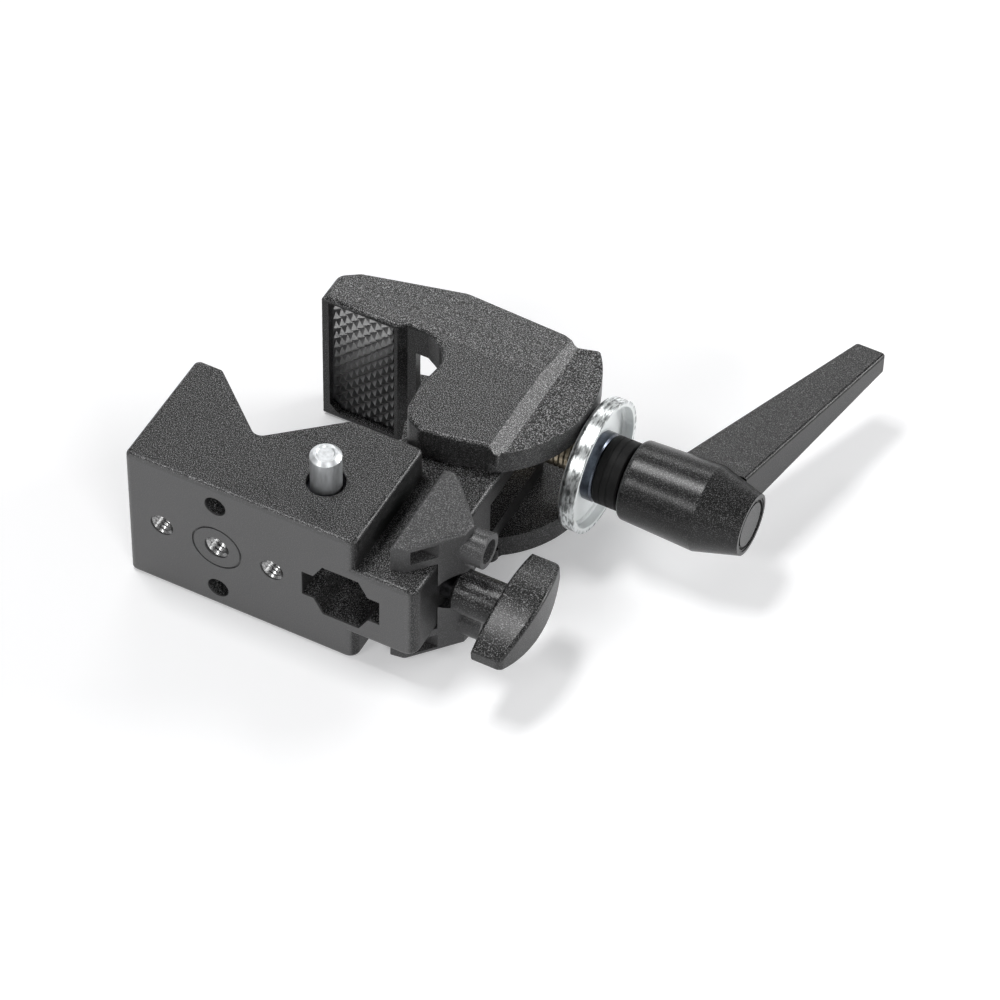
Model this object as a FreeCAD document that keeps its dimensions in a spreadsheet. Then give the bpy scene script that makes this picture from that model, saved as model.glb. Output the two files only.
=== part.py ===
import FreeCAD, Part
import math
import os
import re
import Sketcher

doc = FreeCAD.newDocument("super_clamp")
sheet = doc.addObject("Spreadsheet::Sheet", "Size")

sizes = {
    "block_left": -23.6, "block_right": 35.8, "block_back": 33.4, "block_half": 20,
    "block_corner": 1.6, "block_edge": 1.2, "block_front_round": 2.6,
    "vee_middle": 0, "vee_half_width": 16.8, "vee_angle": 40.8, "vee_round": 2.5,
    "strip_wide": 3.7, "strip_deep": 0.65,
    "stud_thread": 3.175, "stud_ring": 6.5, "stud_ring_deep": 0.4, "stud_ring_wide": 0.5, "stud_deep": 12,
    "side_hole_away": 14.4, "side_hole": 3, "side_hole_deep": 8,
    "peg_hole_away": 14, "peg_hole": 2.75, "peg_hole_deep": 10,
    "arm_right": 51.1, "arm_half": 11, "arm_corner": 3, "arm_edge": 1.4,
    "tongue_half": 10.5, "step_left_y": 35.2, "step_right_y": 41.6,
    "socket_x": 32.15, "socket_flat": 8, "socket_notch": 10, "socket_notch_half": 3.8, "socket_deep": 25,
    "pivot_x": 33, "pivot_y": 50, "pivot_radius": 4, "running": 0.05,
    "screw_y": 64, "eye_x": 38.25, "eye_radius": 6.5, "eye_half": 4.9, "cross_radius": 2.5,
    "fork_half": 5.1, "rod_radius": 4, "rod_end": 77.25,
    "pin_x": 21.05, "pin_y": 14, "pin_guide": 4.57, "pin_bore": 4.65, "pin_floor": -16,
    "pin_waist": 1.8, "pin_waist_low": 0.5, "pin_waist_high": 11.5, "pin_low": -8, "pin_shoulder": 17,
    "pin_stem": 3.7, "pin_top": 29.5, "pin_pocket": 3, "pin_pocket_top": -1,
    "ring_low": 17.2, "ring_thick": 1, "ring_inside": 3.8, "ring_outside": 5.05,
    "lock_y": 15.2, "lock_radius": 3,
    "wedge_half": 19, "wedge_gap": 0.2, "wedge_deep": 13.65, "wedge_web": 4.95, "wedge_low_y": 4.4,
    "wedge_long": 26.7, "tube_out": 8.9, "tube_y": 18.6, "tube_z": 12.5,
    "tube_outside": 4.4, "tube_inside": 3, "lock_clear": 5.6,
    "jaw_half": 20, "jaw_gap": 11.3, "cam_x": 35.27, "cam_y": 64.32, "cam_radius": 27.2,
    "cam_first": -55, "cam_last": 39, "cam_low": 17.6, "band_left": 48.4, "band_right": 51.5,
    "jaw_left": -7.85, "jaw_front": 64.4, "bridge_right": 16.25, "jaw_throat": 66,
    "hook_left": 25.4, "jaw_nose": 38.1, "jaw_back": 82.2, "jaw_far_x": 80, "jaw_corner": 3,
    "jaw_edge": 1.0, "slope_start": 65.8, "slope_drop": 1.1, "jaw_far": 84, "relief_half": 14.8, "pin_seat": 4.6,
    "pad_left": -6.1, "pad_right": 11.3, "pad_low": -18.2, "pad_high": 18.6,
    "pad_front": 65.2, "pad_back": 68.6, "pad_corner": 2.5, "pad_border": 0.9,
    "pyramid_high": 1.2, "pyramid_pitch": 2.26,
    "washer_x": 62.58, "washer_radius": 16.5, "washer_floor": 1.7, "washer_deep": 4.37,
    "washer_wall": 1.4, "washer_hole": 4.08, "washer_round": 1.5,
    "nut_x": 64.33, "flange_thick": 3.1, "flange_radius": 8.5, "collar_seat": 6.6,
    "teeth_x": 74.25, "teeth_long": 4.2, "shaft_radius": 5, "shaft_end": 94.25, "nut_bore_end": 88.75,
    "tooth_tip": 5.95, "teeth_count": 24, "screw_hole": 2.5,
    "collar_x": 67.5, "collar_end": 73.7, "collar_radius": 8.4,
    "hub_x": 74.25, "hub_start": 9.85, "hub_wide": 10.6, "hub_wide_x": 93.65, "hub_end": 7.6,
    "hub_end_x": 104.55, "hub_round": 1.3, "teeth_root": 6.1, "hub_shoulder": 83.75,
    "chamber": 6.75, "cap_x": 102.25, "lever_thick": 6.2, "lever_tip_thick": 2.95, "lever_long": 61.8,
    "head_radius": 6.4, "head_thick": 3, "spring_wire": 0.55, "spring_mean": 5.75, "spring_long": 5.8,
    "pin_spring_mean": 2.35, "pin_spring_wire": 0.35,
    "tip_x": 42.6, "tip_radius": 2.4, "tip_long": 1.4, "tip_stub": 1.2, "tip_stub_long": 3,
    "stem_x": 54.3, "stem_radius": 5.2, "head_x": 65.3, "head_half_long": 15, "head_side": 7.4,
    "head_arc": 46, "head_crown": 33.9, "head_end_half": 1.9, "head_turn": 6.5,
}
for row, (word, number) in enumerate(sizes.items(), 1):
    sheet.set("A%d" % row, word)
    sheet.set("B%d" % row, str(number))
    sheet.setAlias("B%d" % row, word)
doc.recompute()


def bound(text):
    return re.sub(r"[a-z][a-z_]+", lambda word: "Size." + word[0] if word[0] in sizes else word[0], str(text))


def value(text):
    return float(sheet.evalExpression(bound(text)))


def hold(art, kind, *where):
    *spot, text = where
    rule = art.addConstraint(Sketcher.Constraint(kind, *spot, value(text)))
    art.setExpression("Constraints[%d]" % rule, bound(text))


def body(label, x="0", y="0", z="0"):
    owner = doc.addObject("PartDesign::Body", label)
    owner.Label = label
    for way, text in zip("xyz", (x, y, z)):
        owner.setExpression("Placement.Base." + way, bound(text))
    return owner


def segment(start, end, bend):
    here = FreeCAD.Vector(value(start[0]), value(start[1]), 0)
    there = FreeCAD.Vector(value(end[0]), value(end[1]), 0)
    if bend is None:
        return Part.LineSegment(here, there), 1, 2
    radius = value(bend[0])
    chord = there - here
    rise = math.sqrt(radius ** 2 - (chord.Length / 2) ** 2) * bend[1]
    centre = (here + there) * 0.5 + FreeCAD.Vector(-chord.y, chord.x, 0).normalize() * rise
    first, last = (here, there) if bend[1] > 0 else (there, here)
    angles = [math.atan2(spot.y - centre.y, spot.x - centre.x) for spot in (first, last)]
    circle = Part.Circle(centre, FreeCAD.Vector(0, 0, 1), radius)
    ends = (1, 2) if bend[1] > 0 else (2, 1)
    return Part.ArcOfCircle(circle, angles[0], angles[1]), *ends


def draw(owner, name, plane, away, *loops):
    art = owner.newObject("Sketcher::SketchObject", name)
    flat = [face for face in owner.Origin.OriginFeatures if face.Role == plane][0]
    art.AttachmentSupport = (flat, [""])
    art.MapMode = "FlatFace"
    art.setExpression("AttachmentOffset.Base.z", bound(away))
    for loop in loops:
        if isinstance(loop, tuple):
            centre = FreeCAD.Vector(value(loop[0]), value(loop[1]), 0)
            ring = art.addGeometry(Part.Circle(centre, FreeCAD.Vector(0, 0, 1), value(loop[2])))
            hold(art, "DistanceX", ring, 3, loop[0])
            hold(art, "DistanceY", ring, 3, loop[1])
            hold(art, "Radius", ring, loop[2])
            continue
        drawn = []
        for corner, following in zip(loop, loop[1:] + loop[:1]):
            bend = corner[2:] or None
            piece, start, end = segment(corner, following, bend)
            drawn.append((art.addGeometry(piece), start, end, corner, bend))
        for now, after in zip(drawn, drawn[1:] + drawn[:1]):
            art.addConstraint(Sketcher.Constraint("Coincident", now[0], now[2], after[0], after[1]))
        for geometry, start, end, corner, bend in drawn:
            hold(art, "DistanceX", geometry, start, corner[0])
            hold(art, "DistanceY", geometry, start, corner[1])
            if bend:
                hold(art, "Radius", geometry, bend[0])
    art.Visibility = False
    return art


def pad(owner, name, art, length, middle=True, kind="Pad"):
    step = owner.newObject("PartDesign::" + kind, name)
    step.Profile = art
    step.setExpression("Length", bound(length))
    step.Midplane = middle
    return step


def cut(owner, name, art, length, middle=False):
    return pad(owner, name, art, length, middle, "Pocket")


def turn(owner, name, art, axis="H_Axis", kind="Revolution"):
    step = owner.newObject("PartDesign::" + kind, name)
    step.Profile = art
    step.ReferenceAxis = (art, [axis])
    step.Angle = 360
    return step


def soften(owner, name, radius, wanted, kind="Fillet"):
    doc.recompute()
    base = owner.Tip
    edges = ["Edge%d" % number for number, edge in enumerate(base.Shape.Edges, 1) if wanted(edge)]
    step = owner.newObject("PartDesign::" + kind, name)
    step.Base = (base, edges)
    step.setExpression("Radius" if kind == "Fillet" else "Size", bound(radius))
    return step


def upright(*spots):
    places = [(value(x), value(y)) for x, y in spots]

    def wanted(edge):
        box = edge.BoundBox
        if box.XLength + box.YLength > 0.001 or box.ZLength < 0.1:
            return False
        return any(math.hypot(box.XMin - x, box.YMin - y) < 0.02 for x, y in places)
    return wanted


def level(height, other=None):
    heights = [value(height), value(other if other else "-(%s)" % height)]

    def wanted(edge):
        box = edge.BoundBox
        return box.ZLength < 0.001 and any(abs(box.ZMin - spot) < 0.001 for spot in heights)
    return wanted


casting = body("body_casting")
vee_low = "block_back - vee_half_width * tan(vee_angle)"
outline = draw(casting, "block_outline", "XY_Plane", "0", [
    ("block_left", "0"), ("block_right", "0"), ("block_right", "block_back"),
    ("vee_middle + vee_half_width", "block_back"), ("vee_middle", vee_low),
    ("vee_middle - vee_half_width", "block_back"), ("block_left", "block_back")])
pad(casting, "block", outline, "2 * block_half")
soften(casting, "block_corners", "block_corner", upright(
    ("block_left", "0"), ("block_right", "block_back"), ("block_left", "block_back"),
    ("vee_middle + vee_half_width", "block_back"), ("vee_middle - vee_half_width", "block_back")))
soften(casting, "vee_bottom", "vee_round", upright(("vee_middle", vee_low)))
soften(casting, "block_front_corner", "block_front_round", upright(("block_right", "0")))
soften(casting, "block_edges", "block_edge", level("block_half"))

for side, sign in (("top", ""), ("under", "-")):
    border = draw(casting, side + "_strip_outline", "XY_Plane", sign + "(block_half - strip_deep)", [
        ("vee_middle + vee_half_width + strip_wide", "block_back + 2"),
        ("vee_middle - vee_half_width - strip_wide", "block_back + 2"),
        ("vee_middle - vee_half_width - strip_wide * 0.4", "block_back - strip_wide * 0.9"),
        ("vee_middle - 1.6", vee_low + " - strip_wide"), ("vee_middle + 1.6", vee_low + " - strip_wide"),
        ("vee_middle + vee_half_width + strip_wide * 0.4", "block_back - strip_wide * 0.9")])
    strip = cut(casting, side + "_strip", border, "2")
    strip.Reversed = side == "top"

arm = draw(casting, "arm_outline", "XY_Plane", "0", [
    ("block_right - 6", "0"), ("arm_right", "0"), ("arm_right", "block_back + 5"),
    ("block_right - 6", "block_back - 3")])
pad(casting, "arm", arm, "2 * arm_half")
tongue = draw(casting, "tongue_outline", "XY_Plane", "0", [
    ("block_right - 4", "block_back - 6"), ("arm_right", "block_back - 6"), ("arm_right", "screw_y"),
    ("arm_right - 4", "screw_y + 9"), ("eye_x - 8", "screw_y + 9"), ("pivot_x - 9", "pivot_y + 5"),
    ("pivot_x - 9", "pivot_y - 4"), ("block_right - 6", "block_back - 3")])
pad(casting, "tongue", tongue, "2 * tongue_half")
step_line = draw(casting, "step_outline", "XY_Plane", "tongue_half", [
    ("pivot_x - 12", "step_left_y - 5"), ("block_right", "step_left_y"), ("arm_right + 1", "step_right_y"),
    ("arm_right + 1", "step_right_y + 6"), ("pivot_x - 12", "step_right_y + 6")])
step_top = cut(casting, "step_top", step_line, "1")
step_top.Reversed = True
soften(casting, "arm_front_corner", "arm_corner", upright(("arm_right", "0")))
soften(casting, "arm_rims", "arm_edge", lambda edge: edge.BoundBox.ZLength < 0.001
       and abs(abs(edge.BoundBox.ZMin) - value("arm_half")) < 0.001
       and edge.BoundBox.XMin > value("arm_right - arm_corner - 0.1")
       and edge.BoundBox.YMax < value("step_right_y") + 0.01)

socket = []
for across, up in ((1, 1), (-1, 1), (-1, -1), (1, -1)):
    x, z = "socket_x + %d * " % across, "%d * " % up
    spots = [(x + "socket_notch", z + "socket_notch_half"),
             (x + "(socket_flat - socket_notch_half / 2) * 2 / sqrt(3)", z + "socket_notch_half"),
             (x + "socket_flat / sqrt(3)", z + "socket_flat")]
    socket += spots if across * up > 0 else spots[::-1]
hexagon = draw(casting, "socket_outline", "XZ_Plane", "0", socket)
cut(casting, "socket", hexagon, "socket_deep")
ring = draw(casting, "stud_ring_outline", "XZ_Plane", "0", ("0", "0", "stud_ring"),
            ("0", "0", "stud_ring - stud_ring_wide"))
cut(casting, "stud_ring_step", ring, "stud_ring_deep")
stud_hole = draw(casting, "stud_hole_outline", "XZ_Plane", "0", ("0", "0", "stud_thread"))
cut(casting, "stud_hole", stud_hole, "stud_deep")
side_holes = draw(casting, "side_hole_outline", "XZ_Plane", "0", ("-side_hole_away", "0", "side_hole"),
                  ("side_hole_away", "0", "side_hole"))
cut(casting, "side_holes", side_holes, "side_hole_deep")
pegs = draw(casting, "peg_outline", "XZ_Plane", "0", ("0", "-peg_hole_away", "peg_hole"),
            ("0", "peg_hole_away", "peg_hole"))
cut(casting, "peg_holes", pegs, "peg_hole_deep")

fork = draw(casting, "fork_outline", "XY_Plane", "0", [
    ("arm_right - 6.5", "37"), ("arm_right + 5", "37"), ("arm_right + 5", "screw_y + 16"),
    ("eye_x - 9.5", "screw_y + 16"), ("eye_x - 9.5", "screw_y - 7.5"), ("eye_x + 3", "screw_y - 7.5"),
    ("arm_right - 6.5", "screw_y - 12")])
cut(casting, "fork", fork, "2 * fork_half", True)
bores = draw(casting, "cross_bores", "XY_Plane", "0", ("pivot_x", "pivot_y", "pivot_radius + running"),
             ("eye_x", "screw_y", "cross_radius"))
cut(casting, "pin_bores", bores, "2 * arm_half + 2", True)
lock_hole = draw(casting, "lock_outline", "YZ_Plane", "arm_right + 1", ("lock_y", "0", "lock_radius + running"))
cut(casting, "lock_thread", lock_hole, "arm_right - socket_x")
pin_hole = draw(casting, "pin_outline", "XY_Plane", "block_half", ("pin_x", "pin_y", "pin_bore"))
cut(casting, "pin_bore_cut", pin_hole, "block_half - pin_floor")
ring_groove = draw(casting, "ring_groove_outline", "XY_Plane", "ring_low + ring_thick",
                   ("pin_x", "pin_y", "ring_outside"))
cut(casting, "ring_groove", ring_groove, "ring_thick")

pivot = body("pivot_pin", "pivot_x", "pivot_y")
pin_side = draw(pivot, "pivot_outline", "XZ_Plane", "0", [
    ("0", "-jaw_half + 0.4"), ("pivot_radius - 0.5", "-jaw_half + 0.4"), ("pivot_radius", "-jaw_half + 0.9"),
    ("pivot_radius", "jaw_gap + pin_seat - 0.6"), ("pivot_radius - 0.5", "jaw_gap + pin_seat - 0.1"),
    ("0", "jaw_gap + pin_seat - 0.1")])
turn(pivot, "pivot", pin_side, "V_Axis")

cross = body("rod_cross_pin", "eye_x", "screw_y")
cross_side = draw(cross, "cross_outline", "XY_Plane", "0", ("0", "0", "cross_radius"))
pad(cross, "cross", cross_side, "2 * tongue_half - 1")

rod = body("threaded_rod", "eye_x", "screw_y")
eye = draw(rod, "eye_outline", "XY_Plane", "0", ("0", "0", "eye_radius"))
pad(rod, "eye", eye, "2 * eye_half")
shank = draw(rod, "shank_outline", "XY_Plane", "0", [
    ("4", "0"), ("rod_end - eye_x", "0"), ("rod_end - eye_x", "rod_radius - 0.7"),
    ("rod_end - eye_x - 0.7", "rod_radius"), ("4", "rod_radius")])
turn(rod, "shank", shank)
eye_hole = draw(rod, "eye_hole_outline", "XY_Plane", "0", ("0", "0", "cross_radius"))
cut(rod, "eye_hole", eye_hole, "2 * eye_half + 2", True)



def hook_at(share):
    return "jaw_nose + (jaw_throat - jaw_nose) * %s" % share


jaw = body("movable_jaw")
cam_ends = [("cam_x + cam_radius * cos(%s)" % at, "cam_y + cam_radius * sin(%s)" % at)
            for at in ("cam_first", "cam_last")]
cam_notch = ("band_right - 0.7", "cam_y + cam_radius * 0.57")
back_right = ("band_left - 1", "jaw_back - 1.2")
back_bend = ("pivot_x - 11.6", "jaw_back")
pad_back_corner = ("jaw_left + 4.4", "jaw_back - 6.4")
pad_side_corner = ("jaw_left", "jaw_back - 9.5")
throat_corner = ("hook_left - 1.4", "jaw_throat - 2.6")
hook_middle = ("hook_left", hook_at(0.445))
hook_low = ("hook_left + 0.7", hook_at(0.194))
hook_nose = ("hook_left + 2.4", hook_at(0.075))
nose = ("pivot_x - 1", "jaw_nose")
cam_heel = ("band_right + 0.5", "jaw_nose + 1.9")
jaw_line = draw(jaw, "jaw_outline", "XY_Plane", "0", [
    cam_ends[0] + ("cam_radius", 1), cam_ends[1], cam_notch, back_right, back_bend, pad_back_corner,
    pad_side_corner, ("jaw_left", "jaw_front"), ("pad_right + 0.9", "jaw_front"),
    ("bridge_right - 2.25", "jaw_throat"), ("hook_left - 5.9", "jaw_throat"), throat_corner,
    ("hook_left + 1.1", hook_at(0.75)), hook_middle, hook_low, hook_nose, nose,
    ("pivot_x + 6.7", "jaw_nose + 0.9"), ("band_left - 1.2", "jaw_nose + 2.7"), cam_heel])
pad(jaw, "jaw_plates", jaw_line, "2 * jaw_half")
soften(jaw, "jaw_corners", "jaw_corner", upright(
    pad_back_corner, pad_side_corner, throat_corner, hook_nose, nose, back_right))
soften(jaw, "jaw_wide_corners", "2 * jaw_corner", upright(back_bend, hook_middle))
soften(jaw, "jaw_small_corners", "jaw_corner * 0.36", upright(cam_notch, cam_heel, cam_ends[1], hook_low))
soften(jaw, "jaw_edges", "jaw_edge", level("jaw_half"))
side = draw(jaw, "side_outline", "XZ_Plane", "0", [
    ("band_left", "jaw_half"), ("band_right", "cam_low"), ("jaw_far_x", "cam_low"),
    ("jaw_far_x", "jaw_half + 3"), ("band_left", "jaw_half + 3")], [
    ("band_left", "-jaw_half"), ("band_right", "-cam_low"), ("jaw_far_x", "-cam_low"),
    ("jaw_far_x", "-jaw_half - 3"), ("band_left", "-jaw_half - 3")])
cut(jaw, "cam_step", side, "200", True)
back = draw(jaw, "back_outline", "YZ_Plane", "0", [
    ("slope_start", "jaw_half"), ("jaw_far", "jaw_half - slope_drop"), ("jaw_far", "jaw_half + 3"),
    ("slope_start", "jaw_half + 3")], [
    ("slope_start", "-jaw_half"), ("jaw_far", "-jaw_half + slope_drop"), ("jaw_far", "-jaw_half - 3"),
    ("slope_start", "-jaw_half - 3")])
cut(jaw, "back_slope", back, "200", True)
gap = draw(jaw, "gap_outline", "XY_Plane", "0", [
    ("bridge_right", "jaw_nose - 8"), ("jaw_far_x", "jaw_nose - 8"), ("jaw_far_x", "jaw_back + 13"),
    ("bridge_right", "jaw_back + 13")])
cut(jaw, "jaw_gap_cut", gap, "2 * jaw_gap", True)
relief = draw(jaw, "relief_outline", "XY_Plane", "0", [
    ("cam_x + cam_radius * cos(-70)", "cam_y + cam_radius * sin(-70)", "cam_radius", 1),
    ("cam_x + cam_radius * cos(-52)", "cam_y + cam_radius * sin(-52)"), ("cam_x + 22", "cam_y - 26"),
    ("cam_x + 12", "cam_y - 30")])
cut(jaw, "cam_relief", relief, "2 * relief_half", True)
top_bore = draw(jaw, "top_bore_outline", "XY_Plane", "jaw_gap - 1", ("pivot_x", "pivot_y", "pivot_radius"))
top_cut = cut(jaw, "top_bore", top_bore, "pin_seat + 1")
top_cut.Reversed = True
low_bore = draw(jaw, "low_bore_outline", "XY_Plane", "-jaw_gap + 1", ("pivot_x", "pivot_y", "pivot_radius"))
cut(jaw, "low_bore", low_bore, "jaw_half - jaw_gap + 3")
recess = draw(jaw, "recess_outline", "XZ_Plane", "-jaw_front + 1", [
    ("pad_left", "pad_low + pad_corner"), ("pad_left + pad_corner", "pad_low"), ("pad_right", "pad_low"),
    ("pad_right", "pad_high"), ("pad_left", "pad_high")])
cut(jaw, "pad_recess", recess, "pad_back - jaw_front + 1")

grip = body("jaw_pad")
grip_face = draw(grip, "grip_outline", "XZ_Plane", "-pad_back", [
    ("pad_left", "pad_low + pad_corner"), ("pad_left + pad_corner", "pad_low"), ("pad_right", "pad_low"),
    ("pad_right", "pad_high"), ("pad_left", "pad_high")])
pad(grip, "grip", grip_face, "pad_back - pad_front - pyramid_high", False)
field = draw(grip, "field_outline", "XZ_Plane", "-pad_back", [
    ("pad_left + pad_border", "pad_low + pad_corner + 0.4"), ("pad_left + pad_corner + 0.4", "pad_low + pad_border"),
    ("pad_right - pad_border", "pad_low + pad_border"), ("pad_right - pad_border", "pad_high - pad_border"),
    ("pad_left + pad_border", "pad_high - pad_border")])
pad(grip, "field", field, "pad_back - pad_front", False)
for name, lean in (("rising", 45.7), ("falling", -45.7)):
    groove = draw(grip, name + "_outline", "YZ_Plane", "(pad_left + pad_right) / 2", [
        ("pad_front - 0.2", "-12.58 * pyramid_pitch"), ("pad_front + pyramid_high", "-12 * pyramid_pitch"),
        ("pad_front - 0.2", "-11.42 * pyramid_pitch")])
    turned = FreeCAD.Rotation(FreeCAD.Vector(1, 0, 0), lean)
    groove.AttachmentOffset = FreeCAD.Placement(groove.AttachmentOffset.Base, turned)
    first_groove = cut(grip, name + "_groove", groove, "80", True)
    grooves = grip.newObject("PartDesign::LinearPattern", name + "_grooves")
    grooves.Originals = [first_groove]
    grooves.Direction = (groove, ["V_Axis"])
    grooves.setExpression("Length", "24 * Size.pyramid_pitch")
    grooves.Occurrences = 25
    grip.Tip = grooves

washer = body("cup_washer", "washer_x", "screw_y")
cup = draw(washer, "cup_outline", "XY_Plane", "0", [
    ("0", "washer_hole"), ("washer_floor", "washer_hole"),
    ("washer_floor", "washer_radius - washer_wall - 0.7", "0.7", 1),
    ("washer_floor + 0.7", "washer_radius - washer_wall"), ("washer_deep", "washer_radius - washer_wall"),
    ("washer_deep", "washer_radius"), ("washer_round", "washer_radius", "washer_round", 1),
    ("0", "washer_radius - washer_round")])
turn(washer, "cup", cup)

nut = body("hub_nut", "nut_x", "screw_y")
nut_side = draw(nut, "nut_outline", "XY_Plane", "0", [
    ("0", "rod_radius + running"), ("0", "flange_radius - 0.5"), ("0.5", "flange_radius"),
    ("flange_thick - 0.5", "flange_radius"), ("flange_thick", "flange_radius - 0.5"),
    ("flange_thick", "collar_seat"), ("teeth_x - nut_x - 0.4", "collar_seat"),
    ("teeth_x - nut_x - 0.4", "shaft_radius"), ("shaft_end - nut_x", "shaft_radius"),
    ("shaft_end - nut_x", "screw_hole"), ("nut_bore_end - nut_x", "screw_hole"),
    ("nut_bore_end - nut_x", "rod_radius + running")])
turn(nut, "nut", nut_side)
tooth = draw(nut, "tooth_outline", "YZ_Plane", "teeth_x - nut_x", [
    ("shaft_radius - 0.3", "-0.5"), ("tooth_tip", "-0.22"), ("tooth_tip", "0.22"), ("shaft_radius - 0.3", "0.5")])
first_tooth = pad(nut, "tooth", tooth, "teeth_long", False)
teeth = nut.newObject("PartDesign::PolarPattern", "nut_teeth")
teeth.Originals = [first_tooth]
teeth.Axis = (nut_side, ["H_Axis"])
teeth.Angle = 360
teeth.setExpression("Occurrences", "Size.teeth_count")
nut.Tip = teeth

collar = body("hub_collar", "collar_x", "screw_y")
collar_side = draw(collar, "collar_outline", "XY_Plane", "0", [
    ("0", "collar_seat"), ("0", "collar_radius - 0.4"), ("0.4", "collar_radius"), ("1.9", "collar_radius"),
    ("1.9", "collar_radius - 0.12"), ("2.15", "collar_radius - 0.12"), ("2.15", "collar_radius"),
    ("3.6", "collar_radius"), ("3.6", "collar_radius - 0.12"), ("3.85", "collar_radius - 0.12"),
    ("3.85", "collar_radius"), ("collar_end - collar_x - 0.4", "collar_radius"),
    ("collar_end - collar_x", "collar_radius - 0.4"), ("collar_end - collar_x", "collar_seat")])
turn(collar, "collar", collar_side)

lever = body("lever_handle", "hub_x", "screw_y")
tip_left = ("28.5", "lever_long")
tip_right = ("36.3", "lever_long")
arm_side = draw(lever, "lever_outline", "XY_Plane", "0", [
    ("8.9", "chamber + 0.65"), ("25.3", "chamber + 0.65"), tip_right, tip_left])
pad(lever, "lever_arm", arm_side, "2 * lever_thick")
for side, sign in (("top", ""), ("under", "-")):
    slant = draw(lever, side + "_slant_outline", "YZ_Plane", "0", [
        ("5", sign + "lever_thick"), ("lever_long + 1", sign + "lever_tip_thick"),
        ("lever_long + 1", sign + "(lever_thick + 1)"), ("5", sign + "(lever_thick + 1)")])
    cut(lever, side + "_slant", slant, "90", True)
soften(lever, "lever_corners", "1", upright(tip_left, tip_right))
soften(lever, "lever_rims", "0.8", lambda edge: edge.BoundBox.XLength + edge.BoundBox.YLength > 0.1
       and edge.BoundBox.YMax > value("chamber + 0.7"))
hub_side = draw(lever, "hub_outline", "XY_Plane", "0", [
    ("0", "teeth_root"), ("0", "hub_start - hub_round", "hub_round", -1), ("hub_round", "hub_start"),
    ("hub_wide_x - hub_x", "hub_wide"), ("hub_end_x - hub_x", "hub_end"), ("hub_end_x - hub_x", "chamber"),
    ("hub_shoulder - hub_x", "chamber"), ("hub_shoulder - hub_x", "shaft_radius + 0.06"),
    ("teeth_long + 0.15", "shaft_radius + 0.06"), ("teeth_long + 0.15", "teeth_root")])
turn(lever, "hub", hub_side)
inner_tooth = draw(lever, "inner_tooth_outline", "YZ_Plane", "0", [
    ("(teeth_root + 0.3) * cos(9.3)", "(teeth_root + 0.3) * sin(9.3)"), ("5.3 * cos(8.2)", "5.3 * sin(8.2)"),
    ("5.3 * cos(6.8)", "5.3 * sin(6.8)"), ("(teeth_root + 0.3) * cos(5.7)", "(teeth_root + 0.3) * sin(5.7)")])
first_inner = pad(lever, "inner_tooth", inner_tooth, "teeth_long", False)
inner_teeth = lever.newObject("PartDesign::PolarPattern", "lever_teeth")
inner_teeth.Originals = [first_inner]
inner_teeth.Axis = (hub_side, ["H_Axis"])
inner_teeth.Angle = 360
inner_teeth.setExpression("Occurrences", "Size.teeth_count")
lever.Tip = inner_teeth

cap = body("end_cap", "cap_x", "screw_y")
cap_side = draw(cap, "cap_outline", "XY_Plane", "0", [
    ("0", "0"), ("0", "chamber"), ("hub_end_x - cap_x - 0.2", "chamber"), ("hub_end_x - cap_x - 0.2", "6.2"),
    ("hub_end_x - cap_x - 0.7", "6.2"), ("hub_end_x - cap_x - 0.7", "5.5"), ("hub_end_x - cap_x - 0.2", "5.5"),
    ("hub_end_x - cap_x - 0.2", "0")])
turn(cap, "cap", cap_side)

screw = body("lever_screw", "shaft_end", "screw_y")
screw_side = draw(screw, "screw_outline", "XY_Plane", "0", [
    ("nut_bore_end - shaft_end + 0.3", "0"), ("nut_bore_end - shaft_end + 0.3", "screw_hole"),
    ("0", "screw_hole"), ("0", "head_radius"), ("head_thick", "head_radius"), ("head_thick", "2.2"),
    ("head_thick - 1.6", "2.2"), ("head_thick - 1.6", "0")])
turn(screw, "screw", screw_side)



def coil(label, mean, wire, long, turns, place, lean):
    path = doc.addObject("Part::Helix", label + "_path")
    path.setExpression("Radius", bound(mean))
    path.setExpression("Height", bound("%s - 2 * %s" % (long, wire)))
    path.setExpression("Pitch", bound("(%s - 2 * %s) / %s" % (long, wire, turns)))
    section = doc.addObject("Part::RegularPolygon", label + "_section")
    section.Polygon = 6
    section.setExpression("Circumradius", bound(wire))
    section.Placement.Rotation = FreeCAD.Rotation(FreeCAD.Vector(1, 0, 0), 90)
    section.setExpression("Placement.Base.x", bound(mean))
    wound = doc.addObject("Part::Sweep", label)
    wound.Label = label
    wound.Sections = [section]
    wound.Spine = (path, [])
    wound.Solid = True
    wound.Frenet = True
    wound.Placement.Rotation = lean
    for way, text in zip("xyz", place):
        wound.setExpression("Placement.Base." + way, bound(text))
    return wound


coil("lever_spring", "spring_mean", "spring_wire", "spring_long", 3,
     ("shaft_end - spring_long + spring_wire - 0.02", "screw_y", "0"),
     FreeCAD.Rotation(FreeCAD.Vector(0, 1, 0), 90))

plunger = body("lock_pin", "pin_x", "pin_y")
plunger_side = draw(plunger, "plunger_outline", "XZ_Plane", "0", [
    ("0", "pin_pocket_top"), ("pin_pocket", "pin_pocket_top"), ("pin_pocket", "pin_low"),
    ("pin_guide - 0.5", "pin_low"), ("pin_guide", "pin_low + 0.5"), ("pin_guide", "pin_waist_low"),
    ("pin_waist", "pin_waist_low"), ("pin_waist", "pin_waist_high"), ("pin_guide", "pin_waist_high"),
    ("pin_guide", "pin_shoulder"), ("pin_stem", "pin_shoulder"), ("pin_stem", "pin_top - 0.9"),
    ("pin_stem - 0.9", "pin_top"), ("2.2", "pin_top"), ("1.9", "pin_top - 0.35"), ("0", "pin_top - 0.35")])
turn(plunger, "plunger", plunger_side, "V_Axis")

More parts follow.
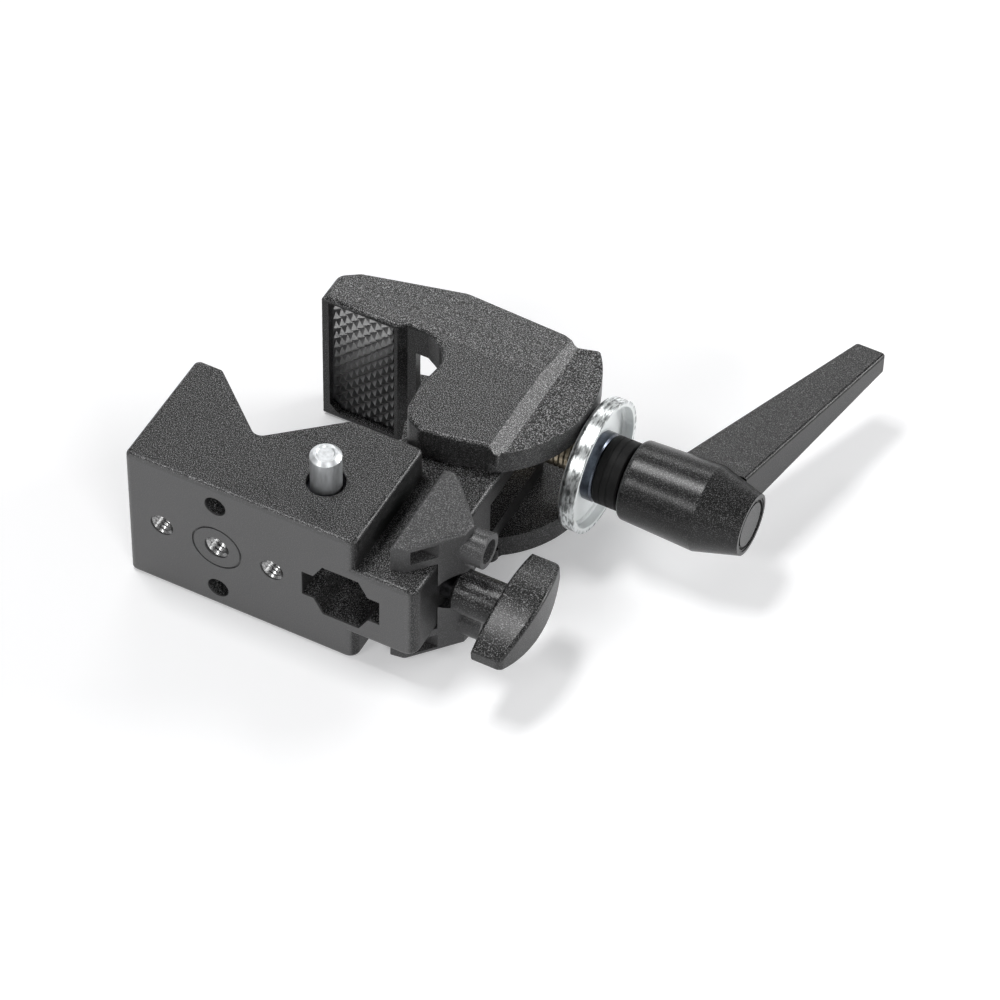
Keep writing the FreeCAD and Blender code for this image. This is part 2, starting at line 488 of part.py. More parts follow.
snap = body("lock_pin_snap_ring", "pin_x", "pin_y", "ring_low")
snap_ring = draw(snap, "snap_outline", "XY_Plane", "0", ("0", "0", "ring_outside"), ("0", "0", "ring_inside"))
pad(snap, "snap", snap_ring, "ring_thick", False)
snap_gap = draw(snap, "snap_gap_outline", "XY_Plane", "ring_thick", [
    ("2", "-1.2"), ("7", "-1.2"), ("7", "1.2"), ("2", "1.2")])
cut(snap, "snap_gap", snap_gap, "ring_thick + 1")

coil("lock_pin_spring", "pin_spring_mean", "pin_spring_wire", "(pin_pocket_top - pin_floor - 0.04)", 6,
     ("pin_x", "pin_y", "pin_floor + pin_spring_wire + 0.02"), FreeCAD.Rotation())

wedge = body("wedge_insert", "arm_right + wedge_gap", "wedge_low_y")
wedge_front = ("wedge_web - wedge_deep + 3.4", "0.5")
wedge_tip = ("wedge_web", "wedge_long * 0.554")
wedge_rear = ("wedge_web - wedge_deep + 4", "wedge_long - 1.1")
wedge_side = draw(wedge, "wedge_outline", "XY_Plane", "0", [
    ("wedge_web - wedge_deep", "0"), wedge_front, ("wedge_web - 0.55", "wedge_long * 0.427"), wedge_tip,
    ("wedge_web - 2.65", "wedge_long * 0.667"), wedge_rear, ("wedge_web - wedge_deep + 2.2", "wedge_long"),
    ("wedge_web - wedge_deep - 0.4", "wedge_long - 0.2")])
pad(wedge, "wedge", wedge_side, "2 * wedge_half")
soften(wedge, "wedge_corners", "1.5", upright(wedge_tip, wedge_front, wedge_rear))
soften(wedge, "wedge_edges", "0.8", level("wedge_half"))
slot = draw(wedge, "slot_outline", "XY_Plane", "0", [
    ("-wedge_deep - 5", "-5"), ("0", "-5"), ("0", "wedge_long + 5"), ("-wedge_deep - 5", "wedge_long + 5")])
cut(wedge, "wedge_slot", slot, "2 * (arm_half + wedge_gap)", True)
tubes = draw(wedge, "tube_outline", "YZ_Plane", "tube_out - 7", ("tube_y - wedge_low_y", "tube_z", "tube_outside"),
             ("tube_y - wedge_low_y", "-tube_z", "tube_outside"))
pad(wedge, "tubes", tubes, "7", False)
tube_holes = draw(wedge, "tube_hole_outline", "YZ_Plane", "tube_out",
                  ("tube_y - wedge_low_y", "tube_z", "tube_inside"),
                  ("tube_y - wedge_low_y", "-tube_z", "tube_inside"))
cut(wedge, "tube_holes", tube_holes, "10")
lock_way = draw(wedge, "lock_way_outline", "YZ_Plane", "wedge_web + 1", ("lock_y - wedge_low_y", "0", "lock_clear"))
cut(wedge, "lock_way", lock_way, "wedge_web + 3")
windows = draw(wedge, "window_outline", "YZ_Plane", "0.5", *[[
    ("1.5", low), ("6.6", low), ("6.6", high), ("1.5", high)] for low, high in (
        ("wedge_half - 5.6", "wedge_half - 1.4"), ("1.4 - wedge_half", "5.6 - wedge_half"))])
cut(wedge, "windows", windows, "7.5")

handle = body("t_handle", "0", "lock_y")
handle.Placement.Rotation = FreeCAD.Rotation(FreeCAD.Vector(1, 0, 0), 0)
handle.setExpression("Placement.Rotation", "rotation(vector(1; 0; 0); Size.head_turn)")
bulge = "(head_arc - sqrt(head_arc ^ 2 - head_half_long ^ 2))"
bar = draw(handle, "bar_outline", "YZ_Plane", "head_x", [
    ("-head_half_long", "-head_end_half", "head_crown", 1), ("head_half_long", "-head_end_half"),
    ("head_half_long", "head_end_half", "head_crown", 1), ("-head_half_long", "head_end_half")])
pad(handle, "bar", bar, "head_side + " + bulge, False)
front = draw(handle, "bar_front_outline", "XY_Plane", "0", [
    ("head_x + head_side", "-head_half_long", "head_arc", 1), ("head_x + head_side", "head_half_long"),
    ("head_x + 2 * head_side", "head_half_long + 1"), ("head_x + 2 * head_side", "-head_half_long - 1")])
cut(handle, "bar_front", front, "4 * stem_radius", True)
soften(handle, "bar_corners", "1.8", upright(
    ("head_x + head_side", "head_half_long"), ("head_x + head_side", "-head_half_long")))
soften(handle, "bar_edges", "0.9", lambda edge: edge.BoundBox.XLength + edge.BoundBox.YLength > 0.1)
stem = draw(handle, "stem_outline", "XY_Plane", "0", [
    ("stem_x", "lock_radius"), ("stem_x", "stem_radius - 0.8"), ("stem_x + 0.8", "stem_radius"),
    ("head_x + 3", "stem_radius"), ("head_x + 3", "lock_radius")])
turn(handle, "stem", stem)
screw_socket = draw(handle, "screw_socket_outline", "YZ_Plane", "head_x + 5", ("0", "0", "lock_radius"))
cut(handle, "screw_socket", screw_socket, "30")

lock = body("lock_screw", "0", "lock_y")
lock_side = draw(lock, "lock_side_outline", "XY_Plane", "0", [
    ("tip_x + tip_long + 0.05", "tip_stub + running"), ("tip_x + tip_long + 0.05", "lock_radius - 0.4"),
    ("tip_x + tip_long + 0.45", "lock_radius"), ("head_x + 5", "lock_radius"), ("head_x + 5", "0"),
    ("tip_x + tip_long + tip_stub_long + 0.1", "0"),
    ("tip_x + tip_long + tip_stub_long + 0.1", "tip_stub + running")])
turn(lock, "lock", lock_side)

tip = body("screw_tip", "tip_x", "lock_y")
tip_side = draw(tip, "tip_outline", "XY_Plane", "0", [
    ("0", "0"), ("0", "tip_radius - 0.3"), ("0.3", "tip_radius"), ("tip_long", "tip_radius"),
    ("tip_long", "tip_stub"), ("tip_long + tip_stub_long", "tip_stub"), ("tip_long + tip_stub_long", "0")])
turn(tip, "tip", tip_side)

doc.recompute()
for item in doc.Objects:
    if "Invalid" in item.State or "Error" in item.State:
        raise RuntimeError("%s did not build" % item.Label)
os.makedirs("parts", exist_ok=True)
for item in [each for each in doc.Objects if each.TypeId in ("PartDesign::Body", "Part::Sweep")]:
    if item.Shape.isNull() or not item.Shape.isValid() or len(item.Shape.Solids) != 1:
        raise RuntimeError("%s is not one sound solid" % item.Label)
    item.Shape.exportStep("parts/%s.step" % item.Label)
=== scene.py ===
import bmesh
import bpy
import math
from mathutils import Matrix, Vector


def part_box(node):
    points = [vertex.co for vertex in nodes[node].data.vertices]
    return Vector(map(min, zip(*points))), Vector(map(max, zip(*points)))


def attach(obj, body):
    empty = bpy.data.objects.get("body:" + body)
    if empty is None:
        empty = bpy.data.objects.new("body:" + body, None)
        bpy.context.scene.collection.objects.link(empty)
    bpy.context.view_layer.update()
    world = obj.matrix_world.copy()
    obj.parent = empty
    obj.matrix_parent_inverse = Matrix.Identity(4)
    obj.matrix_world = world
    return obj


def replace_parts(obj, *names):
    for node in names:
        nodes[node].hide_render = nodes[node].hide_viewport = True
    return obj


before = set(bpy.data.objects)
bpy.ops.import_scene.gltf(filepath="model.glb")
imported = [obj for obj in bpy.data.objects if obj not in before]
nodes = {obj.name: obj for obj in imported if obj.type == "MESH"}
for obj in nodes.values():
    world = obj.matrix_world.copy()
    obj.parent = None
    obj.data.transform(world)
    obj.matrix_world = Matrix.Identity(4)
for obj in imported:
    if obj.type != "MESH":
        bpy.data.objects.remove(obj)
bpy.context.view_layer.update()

# The table and the studio: the clamp lies on its side on a white sweep, with pale walls around it and a dark
# ceiling above. A soft box hangs overhead and panels stand at the corners of the table.
scene = bpy.context.scene
scene.view_settings.view_transform = "Standard"
table_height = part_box("body_casting")[0].z
table_gap = 0.0001
table_half = 4
table_white, table_roughness, table_gloss = (0.84, 0.84, 0.845), 0.9, 0.1
table_glow, glow_white = 0.26, (0.98, 0.985, 1, 1)
wall_top, ceiling_start = 0.05, 0.65
wall_light, ceiling_light = 0.65, 0.12
clamp_middle = Vector((0.03, 0.04, 0))


def new_material(name, colour, roughness, metallic=0.0):
    material = bpy.data.materials.new(name)
    material.use_nodes = True
    shader = material.node_tree.nodes["Principled BSDF"]
    shader.inputs["Base Color"].default_value = (*colour, 1)
    shader.inputs["Roughness"].default_value = roughness
    shader.inputs["Metallic"].default_value = metallic
    return material, material.node_tree.nodes, material.node_tree.links, shader


def add_piece(name, mesh):
    piece = bpy.data.objects.new(name, mesh)
    scene.collection.objects.link(piece)
    return piece


def spread(shades, links, source, low=0.0, high=1.0, least=0.0, most=1.0):
    scale = shades.new("ShaderNodeMapRange")
    for word, amount in (("Value", source), ("From Min", low), ("From Max", high), ("To Min", least),
                         ("To Max", most)):
        if isinstance(amount, bpy.types.NodeSocket):
            links.new(amount, scale.inputs[word])
        else:
            scale.inputs[word].default_value = amount
    return scale.outputs["Result"]


table_mesh = bpy.data.meshes.new("table")
table_corners = [(-table_half, -table_half), (table_half, -table_half), (table_half, table_half),
                 (-table_half, table_half)]
table_mesh.from_pydata([(x, y, table_height - table_gap) for x, y in table_corners], [], [(0, 1, 2, 3)])
white, shades, links, shader = new_material("white_sweep", table_white, table_roughness)
shader.inputs["Specular IOR Level"].default_value = table_gloss
glow = shades.new("ShaderNodeEmission")
glow.inputs["Color"].default_value = glow_white
rays = shades.new("ShaderNodeLightPath")
seen = rays.outputs["Is Camera Ray"]
for kind in ("Is Glossy Ray", "Is Transmission Ray"):
    either = shades.new("ShaderNodeMath")
    either.operation = "MAXIMUM"
    links.new(seen, either.inputs[0])
    links.new(rays.outputs[kind], either.inputs[1])
    seen = either.outputs[0]
links.new(spread(shades, links, seen, most=table_glow), glow.inputs["Strength"])
both = shades.new("ShaderNodeAddShader")
links.new(shader.outputs[0], both.inputs[0])
links.new(glow.outputs[0], both.inputs[1])
links.new(both.outputs[0], shades["Material Output"].inputs["Surface"])
table_mesh.materials.append(white)
add_piece("table", table_mesh)

world = bpy.data.worlds.new("studio")
scene.world = world
world.use_nodes = True
shades, links = world.node_tree.nodes, world.node_tree.links
height = shades.new("ShaderNodeSeparateXYZ")
links.new(shades.new("ShaderNodeTexCoord").outputs["Generated"], height.inputs[0])
room_light = spread(shades, links, height.outputs["Z"], wall_top, ceiling_start, wall_light, ceiling_light)
links.new(room_light, shades["Background"].inputs["Strength"])
shades["Background"].inputs["Color"].default_value = (1, 1, 1, 1)


def soft_box(name, place, size, watts):
    lamp = bpy.data.lights.new(name, "AREA")
    lamp.shape = "RECTANGLE"
    lamp.size, lamp.size_y = size
    lamp.energy = watts
    holder = bpy.data.objects.new(name, lamp)
    holder.location = place
    holder.rotation_euler = (clamp_middle - Vector(place)).to_track_quat("-Z", "Y").to_euler()
    scene.collection.objects.link(holder)


soft_box("overhead_box", place=(-0.30, 0.06, 1.15), size=(0.35, 0.22), watts=6)
soft_box("far_right_strip", place=(0.85, 0.78, 0.42), size=(0.5, 0.14), watts=7)
soft_box("front_left_panel", place=(-0.36, -0.92, 0.78), size=(0.35, 0.12), watts=2.5)
soft_box("far_left_panel", place=(-0.38, 0.98, 0.78), size=(0.55, 0.2), watts=1.8)
soft_box("near_right_panel", place=(0.80, -0.72, 0.48), size=(0.42, 0.42), watts=4.5)

camera_yaw, camera_pitch, camera_roll = math.radians(26.37), math.radians(48.17), math.radians(1.42)
camera_place = (0.38163, -0.62495, 0.83364)
focal_length = 174.9
nearest_seen = 0.05
ahead = Vector((-math.sin(camera_yaw) * math.cos(camera_pitch), math.cos(camera_yaw) * math.cos(camera_pitch),
                -math.sin(camera_pitch)))
level_right = ahead.cross(Vector((0, 0, 1))).normalized()
level_up = level_right.cross(ahead)
right = level_right * math.cos(camera_roll) + level_up * math.sin(camera_roll)
up = level_up * math.cos(camera_roll) - level_right * math.sin(camera_roll)
lens = bpy.data.cameras.new("camera")
lens.lens = focal_length
lens.clip_start = nearest_seen
camera = bpy.data.objects.new("camera", lens)
camera.matrix_world = Matrix.Translation(camera_place) @ Matrix((right, up, -ahead)).transposed().to_4x4()
scene.collection.objects.link(camera)
scene.camera = camera

# The body: a die-cast aluminium block with its V, its arm and its forked tongue, painted black with a grain.
# Light specks in its colour are painted glints, bright on level faces and dimmer on upright ones. The front face
# is machined smooth, and its colour is lifted as a painted reflection of the white floor.
# Painted glints: the share that upright faces keep against level ones, and the edge and detail of the specks.
side_level, top_level, side_glint_share = 0.2, 0.9, 0.3
speck_edge, speck_detail = 0.17, 2
# The front face: the depth over which it gives way to the rest, its painted reflection of the floor as a share
# of the light specks, and its finer grain.
front_start, front_end = 0.0002, 0.0007
front_reflection_least, front_reflection_most, front_grain = 0.26, 0.4, 0.08
body_grain = 0.15


def mixed(shades, links, amount, first, second):
    shade = shades.new("ShaderNodeMix")
    shade.data_type = "RGBA"
    shade.inputs["A"].default_value = (*first, 1)
    if isinstance(second, bpy.types.NodeSocket):
        links.new(second, shade.inputs["B"])
    else:
        shade.inputs["B"].default_value = (*second, 1)
    links.new(amount, shade.inputs["Factor"])
    return shade.outputs["Result"]


# Paint or plastic with a bumped grain. The light specks mixed into its colour are painted glints, at full
# strength on level faces and dimmer on upright ones.
def glint_speckled_paint(name, dark, light, roughness, grain, size, threshold=0.51, gloss=0.35):
    material, shades, links, shader = new_material(name, (dark, dark, dark), roughness)
    shader.inputs["Specular IOR Level"].default_value = gloss
    surface = shades.new("ShaderNodeTexCoord")
    surface.name = "surface"
    facing = shades.new("ShaderNodeSeparateXYZ")
    links.new(surface.outputs["Normal"], facing.inputs[0])
    levelness = shades.new("ShaderNodeMath")
    levelness.operation = "ABSOLUTE"
    links.new(facing.outputs["Z"], levelness.inputs[0])
    level_glints = spread(shades, links, levelness.outputs[0], side_level, top_level, side_glint_share)
    level_glints.node.name = "level_glints"
    specks = shades.new("ShaderNodeTexNoise")
    specks.inputs["Scale"].default_value = 1 / size
    specks.inputs["Detail"].default_value = speck_detail
    links.new(surface.outputs["Object"], specks.inputs["Vector"])
    painted_glints = spread(shades, links, specks.outputs["Fac"], threshold, threshold + speck_edge, most=level_glints)
    painted_glints.node.name = "painted_glints"
    bump = shades.new("ShaderNodeBump")
    bump.name = "grain"
    bump.inputs["Strength"].default_value = grain
    bump.inputs["Distance"].default_value = size / 2
    links.new(specks.outputs["Fac"], bump.inputs["Height"])
    links.new(bump.outputs["Normal"], shader.inputs["Normal"])
    shade = mixed(shades, links, painted_glints, (dark, dark, dark * 1.02), (light, light, light * 1.01))
    links.new(shade, shader.inputs["Base Color"])
    return material


body_paint = glint_speckled_paint("body_paint", dark=0.004, light=0.32, roughness=0.36, grain=body_grain, size=0.00023)
shades, links = body_paint.node_tree.nodes, body_paint.node_tree.links
# On the front face the colour is lifted towards the light specks, a painted reflection of the white floor, and
# the grain's bump is smaller.
spot = shades.new("ShaderNodeSeparateXYZ")
links.new(shades["surface"].outputs["Object"], spot.inputs[0])
behind_front = spread(shades, links, spot.outputs["Y"], front_start, front_end)
level_glints = shades["level_glints"].outputs["Result"]
for target, smooth, painted in ((shades["painted_glints"].inputs["To Max"], front_reflection_most, level_glints),
                                (shades["painted_glints"].inputs["To Min"], front_reflection_least, 0.0),
                                (shades["grain"].inputs["Strength"], front_grain, body_grain)):
    links.new(spread(shades, links, behind_front, least=smooth, most=painted), target)


def dress(node, material):
    mesh = nodes[node].data
    mesh.materials.clear()
    mesh.materials.append(material)


dress("body_casting", body_paint)

# The three tapped holes of the front face show their bare threads, cut by a tap as a helical ridge along the
# wall of the
# hole: a quarter-inch thread in the middle and M6 on either side. The thread metal is coloured dark grey, a
# painted shade for the inside of the holes.
turn_steps, ridge_sides = 36, 4
metal_detail = 4
ridge_share, mouth_share = 0.5, 0.7


def socket(tree, name, kind, direction="INPUT"):
    return tree.interface.new_socket(name, in_out=direction, socket_type="NodeSocket" + kind).identifier


thread_tree = bpy.data.node_groups.new("thread_ridge", "GeometryNodeTree")
thread_inputs = {name: socket(thread_tree, name, kind) for name, kind in (
    ("Pitch Radius", "Float"), ("Depth", "Float"), ("Pitch", "Float"), ("Turns", "Float"),
    ("Material", "Material"))}
socket(thread_tree, "Geometry", "Geometry", "OUTPUT")
steps, ties = thread_tree.nodes, thread_tree.links
given = steps.new("NodeGroupInput")
ready = steps.new("NodeGroupOutput")
length = steps.new("ShaderNodeMath")
length.operation = "MULTIPLY"
ties.new(given.outputs["Turns"], length.inputs[0])
ties.new(given.outputs["Pitch"], length.inputs[1])
helix = steps.new("GeometryNodeCurveSpiral")
helix.inputs["Resolution"].default_value = turn_steps
helix.inputs["Reverse"].default_value = True
ties.new(given.outputs["Turns"], helix.inputs["Rotations"])
ties.new(given.outputs["Pitch Radius"], helix.inputs["Start Radius"])
ties.new(given.outputs["Pitch Radius"], helix.inputs["End Radius"])
ties.new(length.outputs[0], helix.inputs["Height"])
square_on = steps.new("GeometryNodeSetCurveNormal")
square_on.mode = "Z_UP"
ties.new(helix.outputs["Curve"], square_on.inputs["Curve"])
flanks = steps.new("GeometryNodeCurvePrimitiveCircle")
flanks.inputs["Resolution"].default_value = ridge_sides
ties.new(given.outputs["Depth"], flanks.inputs["Radius"])
sweep = steps.new("GeometryNodeCurveToMesh")
sweep.inputs["Fill Caps"].default_value = True
ties.new(square_on.outputs["Curve"], sweep.inputs["Curve"])
ties.new(flanks.outputs["Curve"], sweep.inputs["Profile Curve"])
flat_faces = steps.new("GeometryNodeSetShadeSmooth")
flat_faces.inputs["Shade Smooth"].default_value = False
ties.new(sweep.outputs["Mesh"], flat_faces.inputs["Geometry"])
whole = steps.new("GeometryNodeRealizeInstances")
ties.new(flat_faces.outputs["Geometry"], whole.inputs["Geometry"])
finish = steps.new("GeometryNodeSetMaterial")
ties.new(whole.outputs["Geometry"], finish.inputs["Geometry"])
ties.new(given.outputs["Material"], finish.inputs["Material"])
ties.new(finish.outputs["Geometry"], ready.inputs["Geometry"])


def plain_mesh(piece):
    mesh = bpy.data.meshes.new_from_object(piece.evaluated_get(bpy.context.evaluated_depsgraph_get()))
    bpy.data.objects.remove(piece)
    return mesh


def thread_mesh(name, radius, depth, pitch, turns, material, placing):
    maker = add_piece(name + "_maker", bpy.data.meshes.new(name + "_maker"))
    rule = maker.modifiers.new("thread", "NODES")
    rule.node_group = thread_tree
    for word, amount in (("Pitch Radius", radius), ("Depth", depth), ("Pitch", pitch), ("Turns", turns),
                         ("Material", material)):
        rule[thread_inputs[word]] = amount
    mesh = plain_mesh(maker)
    mesh.name = name
    mesh.transform(placing)
    return mesh


def clouded_metal(name, colour, stain, roughness, size, stretch=(1, 1, 1)):
    material, shades, links, shader = new_material(name, colour, roughness, 1.0)
    squeeze = shades.new("ShaderNodeMapping")
    squeeze.inputs["Scale"].default_value = stretch
    links.new(shades.new("ShaderNodeTexCoord").outputs["Object"], squeeze.inputs["Vector"])
    cloud = shades.new("ShaderNodeTexNoise")
    cloud.inputs["Scale"].default_value = 1 / size
    cloud.inputs["Detail"].default_value = metal_detail
    links.new(squeeze.outputs["Vector"], cloud.inputs["Vector"])
    amount = spread(shades, links, cloud.outputs["Fac"], 0.35, 0.65)
    links.new(mixed(shades, links, amount, stain, colour), shader.inputs["Base Color"])
    return material


# Dark grey thread metal: painted shade inside the tapped holes.
shaded_tap_metal = clouded_metal("shaded_tap_metal", colour=(0.42, 0.42, 0.42), stain=(0.15, 0.15, 0.15), roughness=0.25,
                             size=0.0006)
into_block = Matrix.Rotation(math.radians(-90), 4, "X")
taps = {"middle_thread": {"x": 0, "radius": 0.003175, "pitch": 0.00127, "long": 0.0115},
        "left_thread": {"x": -0.0144, "radius": 0.003, "pitch": 0.001, "long": 0.0075},
        "right_thread": {"x": 0.0144, "radius": 0.003, "pitch": 0.001, "long": 0.0075}}
for name, hole in taps.items():
    ridge = thread_mesh(name, hole["radius"], hole["pitch"] * ridge_share, hole["pitch"],
                        hole["long"] / hole["pitch"] - 1, shaded_tap_metal,
                        Matrix.Translation((hole["x"], hole["pitch"] * mouth_share, 0)) @ into_block)
    tap = add_piece(name, ridge)
    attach(tap, "root")

# The jaw: one painted aluminium casting of two plates and a bridge, swung on a pin through the tongue. The
# bridge is only a wall behind the pad, so the space behind it is cut out of the solid jaw between the plates.
weld_distance = 1e-6
cavity_half = 0.0113
wall_line = ((0.018, 0.0672), (0.01625, 0.0683), (0.0138, 0.0718), (-0.0035, 0.0718), (-0.0035, 0.095),
             (0.018, 0.095))


def welded_copy(node):
    mesh = nodes[node].data.copy()
    work = bmesh.new()
    work.from_mesh(mesh)
    bmesh.ops.remove_doubles(work, verts=work.verts, dist=weld_distance)
    work.to_mesh(mesh)
    work.free()
    return mesh


def coat(mesh, material):
    mesh.materials.clear()
    mesh.materials.append(material)
    for face in mesh.polygons:
        face.material_index = 0


core = bpy.data.meshes.new("jaw_cavity")
ring = range(len(wall_line))
sides = [(at, (at + 1) % len(wall_line), (at + 1) % len(wall_line) + len(wall_line), at + len(wall_line))
         for at in ring]
core.from_pydata([(x, y, z) for z in (-cavity_half, cavity_half) for x, y in wall_line], [],
                 [tuple(ring), tuple(at + len(wall_line) for at in ring)] + sides)
work = bmesh.new()
work.from_mesh(core)
bmesh.ops.recalc_face_normals(work, faces=work.faces)
work.to_mesh(core)
work.free()
solid_jaw, cavity = add_piece("solid_jaw", welded_copy("movable_jaw")), add_piece("cavity", core)
hollow = solid_jaw.modifiers.new("hollow", "BOOLEAN")
hollow.object = cavity
jaw_shape = plain_mesh(solid_jaw)
bpy.data.objects.remove(cavity)
coat(jaw_shape, glint_speckled_paint("jaw_paint", dark=0.005, light=0.42, roughness=0.36, grain=0.15, size=0.00023))
hollow_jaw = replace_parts(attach(add_piece("hollow_jaw", jaw_shape), "jaw"), "movable_jaw")

# The pad: moulded rubber with rows of small pyramids that grip the tube, pressed into the recess of the jaw.
# Its facets are glossier than the paint around it.
dress("jaw_pad", glint_speckled_paint("pad_rubber", dark=0.075, light=0.1, roughness=0.33, grain=0.05, size=0.0007,
                                gloss=1))

# The threaded rod: an M8 rod with an eye, yellow zinc plated and held in the fork by a cross pin. Its shank
# comes down to the root of the thread and carries the rolled ridge.
rod_pitch, rod_depth, rod_radius = 0.00125, 0.0006, 0.004
eye_clear, rod_over = 0.0003, 0.0001
runout_turns = 0.6
along_x = Matrix.Rotation(math.radians(90), 4, "Y")


def threaded_copy(node, owner, axis_y, start, end, radius, depth, pitch, material):
    shank = welded_copy(node)
    work = bmesh.new()
    work.from_mesh(shank)
    for corner in work.verts:
        away = math.hypot(corner.co.y - axis_y, corner.co.z)
        if start < corner.co.x < end and away > radius - depth:
            corner.co.y = axis_y + (corner.co.y - axis_y) * (radius - depth) / away
            corner.co.z *= (radius - depth) / away
    ridge = thread_mesh(node + "_ridge", radius - depth, depth, pitch, (end - start) / pitch - 2 * runout_turns,
                        material, Matrix.Translation((start + pitch * runout_turns, axis_y, 0)) @ along_x)
    work.from_mesh(ridge)
    work.to_mesh(shank)
    work.free()
    coat(shank, material)
    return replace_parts(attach(add_piece(node + "_threaded", shank), owner), node)


yellow_plate = clouded_metal("yellow_plate", colour=(0.5, 0.44, 0.34), stain=(0.22, 0.18, 0.12), roughness=0.28,
                             size=0.0008)
nut_low, nut_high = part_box("hub_nut")
screw_y = (nut_low.y + nut_high.y) / 2
rod_low, rod_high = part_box("threaded_rod")
rod = threaded_copy("threaded_rod", "root", screw_y, start=rod_low.x + (rod_high.y - rod_low.y) + eye_clear,
                    end=rod_high.x + rod_over, radius=rod_radius, depth=rod_depth, pitch=rod_pitch,
                    material=yellow_plate)
dress("rod_cross_pin", yellow_plate)

# The cup washer: a pressed steel cup, bright zinc plated. Its rolled rim is streaked round the edge, and the
# inside of the cup has a paler, bluish bloom.
rim_inside, rim_outside = 0.0155, 0.0163
streaks_round, streaks_across = 7, 1300
streak_detail, streak_waver = 5, 0.4
worn_from, worn_to = 0.38, 0.58
rim_dark, rim_bright, cup_bloom = (0.2, 0.21, 0.21), (0.9, 0.93, 0.93), (0.95, 0.98, 0.98)
cup_roughness, rim_roughness = 0.6, 0.3
cup_metallic, rim_metallic = 0.2, 1.0
washer_zinc, shades, links, shader = new_material("washer_zinc", rim_bright, rim_roughness, rim_metallic)
from_axis = shades.new("ShaderNodeVectorMath")
from_axis.operation = "SUBTRACT"
from_axis.inputs[1].default_value = (0, screw_y, 0)
links.new(shades.new("ShaderNodeTexCoord").outputs["Object"], from_axis.inputs[0])
across = shades.new("ShaderNodeVectorMath")
across.operation = "MULTIPLY"
across.inputs[1].default_value = (0, 1, 1)
links.new(from_axis.outputs[0], across.inputs[0])
away = shades.new("ShaderNodeVectorMath")
away.operation = "LENGTH"
links.new(across.outputs[0], away.inputs[0])
on_rim = spread(shades, links, away.outputs["Value"], rim_inside, rim_outside)
about_axis = shades.new("ShaderNodeSeparateXYZ")
links.new(from_axis.outputs[0], about_axis.inputs[0])
round_the_rim = shades.new("ShaderNodeMath")
round_the_rim.operation = "ARCTAN2"
links.new(about_axis.outputs["Y"], round_the_rim.inputs[0])
links.new(about_axis.outputs["Z"], round_the_rim.inputs[1])
unrolled = shades.new("ShaderNodeCombineXYZ")
links.new(round_the_rim.outputs[0], unrolled.inputs["X"])
links.new(about_axis.outputs["X"], unrolled.inputs["Y"])
drawn_out = shades.new("ShaderNodeMapping")
drawn_out.inputs["Scale"].default_value = (streaks_round, streaks_across, 1)
links.new(unrolled.outputs[0], drawn_out.inputs["Vector"])
scuffs = shades.new("ShaderNodeTexNoise")
scuffs.inputs["Scale"].default_value = 1
scuffs.inputs["Detail"].default_value = streak_detail
scuffs.inputs["Distortion"].default_value = streak_waver
links.new(drawn_out.outputs["Vector"], scuffs.inputs["Vector"])
worn = spread(shades, links, scuffs.outputs["Fac"], worn_from, worn_to)
rim_shade = mixed(shades, links, worn, rim_dark, rim_bright)
links.new(mixed(shades, links, on_rim, cup_bloom, rim_shade), shader.inputs["Base Color"])
links.new(spread(shades, links, on_rim, least=cup_roughness, most=rim_roughness), shader.inputs["Roughness"])
links.new(spread(shades, links, on_rim, least=cup_metallic, most=rim_metallic), shader.inputs["Metallic"])
dress("cup_washer", washer_zinc)

# The nut and its collar: the nut is turned from steel and blackened, with its flange polished blue-black. The
# grooved collar is dull black and sits between the flange and the lever.
dress("hub_nut", clouded_metal("blued_steel", colour=(0.10, 0.115, 0.14), stain=(0.05, 0.055, 0.07),
                               roughness=0.25, size=0.002))
dress("hub_collar", glint_speckled_paint("collar_black", dark=0.003, light=0.008, roughness=0.55, grain=0.1,
                                   size=0.0005, gloss=0.2))

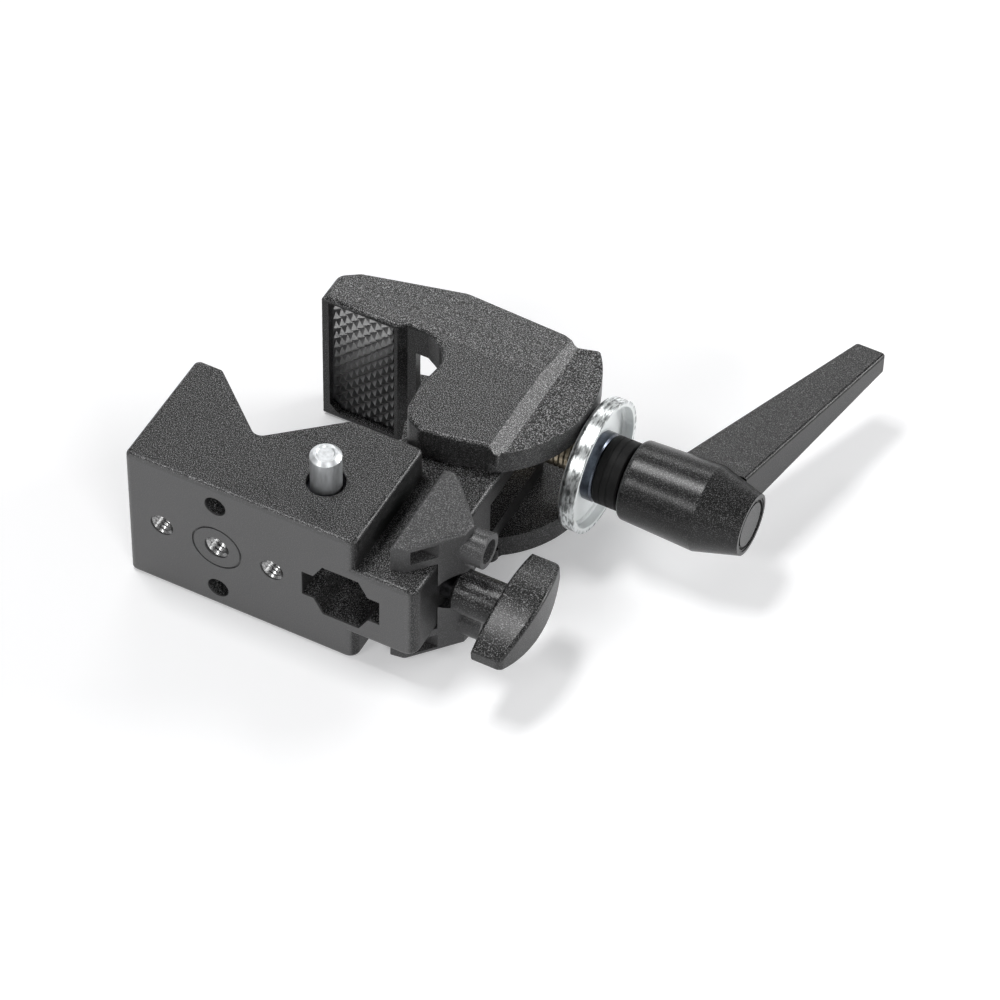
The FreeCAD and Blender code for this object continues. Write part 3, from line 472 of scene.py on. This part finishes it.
# The lever: a painted zinc casting, hub and arm in one. A plated screw in the end of the nut holds it through a
# spring, so that it lifts off its teeth, and a plain cap closes the chamber.
lever_paint = glint_speckled_paint("lever_paint", dark=0.003, light=0.15, roughness=0.28, grain=0.2, size=0.00023)
pin_zinc = clouded_metal("pin_zinc", colour=(0.88, 0.9, 0.92), stain=(0.7, 0.72, 0.73), roughness=0.42,
                         size=0.001, stretch=(1, 1, 0.2))
for node in ("lever_handle", "end_cap"):
    dress(node, lever_paint)
for node in ("lever_screw", "lever_spring"):
    dress(node, pin_zinc)

# The pins: plain turned steel, zinc plated. The pivot pin is pressed into the jaw from below, and the lock pin
# stands on its spring, with a black stamped snap ring that keeps it in its bore.
for node in ("pivot_pin", "lock_pin", "lock_pin_spring"):
    dress(node, pin_zinc)
# The snap ring's near black is its black finish and also a painted shade for the dark gap around the lock pin.
dress("lock_pin_snap_ring", clouded_metal("ring_black", colour=(0.03, 0.03, 0.035), stain=(0.015, 0.015, 0.018),
                                          roughness=0.4, size=0.001))

# The wedge: dark moulded plastic with a spark-eroded grain. It straddles the arm, and the lock screw passes
# between its two tubes.
dress("wedge_insert", glint_speckled_paint("wedge_plastic", dark=0.045, light=0.22, roughness=0.36, grain=0.2,
                                     size=0.00023))

# The T-handle: moulded black plastic on an M6 screw of blackened steel, threaded as the rod is, with a brass
# tip that turns freely in its end.
lock_pitch, lock_depth, lock_radius = 0.001, 0.0005, 0.003
tip_end, handle_depth = 0.0031, 0.001
dress("t_handle", glint_speckled_paint("handle_plastic", dark=0.003, light=0.3, roughness=0.3, grain=0.3,
                                 size=0.00026, threshold=0.53))
screw_black = clouded_metal("screw_black", colour=(0.16, 0.16, 0.17), stain=(0.08, 0.08, 0.085), roughness=0.3,
                            size=0.001)
lock_low, lock_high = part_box("lock_screw")
lock = threaded_copy("lock_screw", "t_handle", (lock_low.y + lock_high.y) / 2, start=lock_low.x + tip_end,
                     end=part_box("t_handle")[0].x + handle_depth, radius=lock_radius, depth=lock_depth,
                     pitch=lock_pitch, material=screw_black)
dress("screw_tip", clouded_metal("tip_brass", colour=(0.78, 0.6, 0.3), stain=(0.55, 0.4, 0.2), roughness=0.3,
                                 size=0.001))
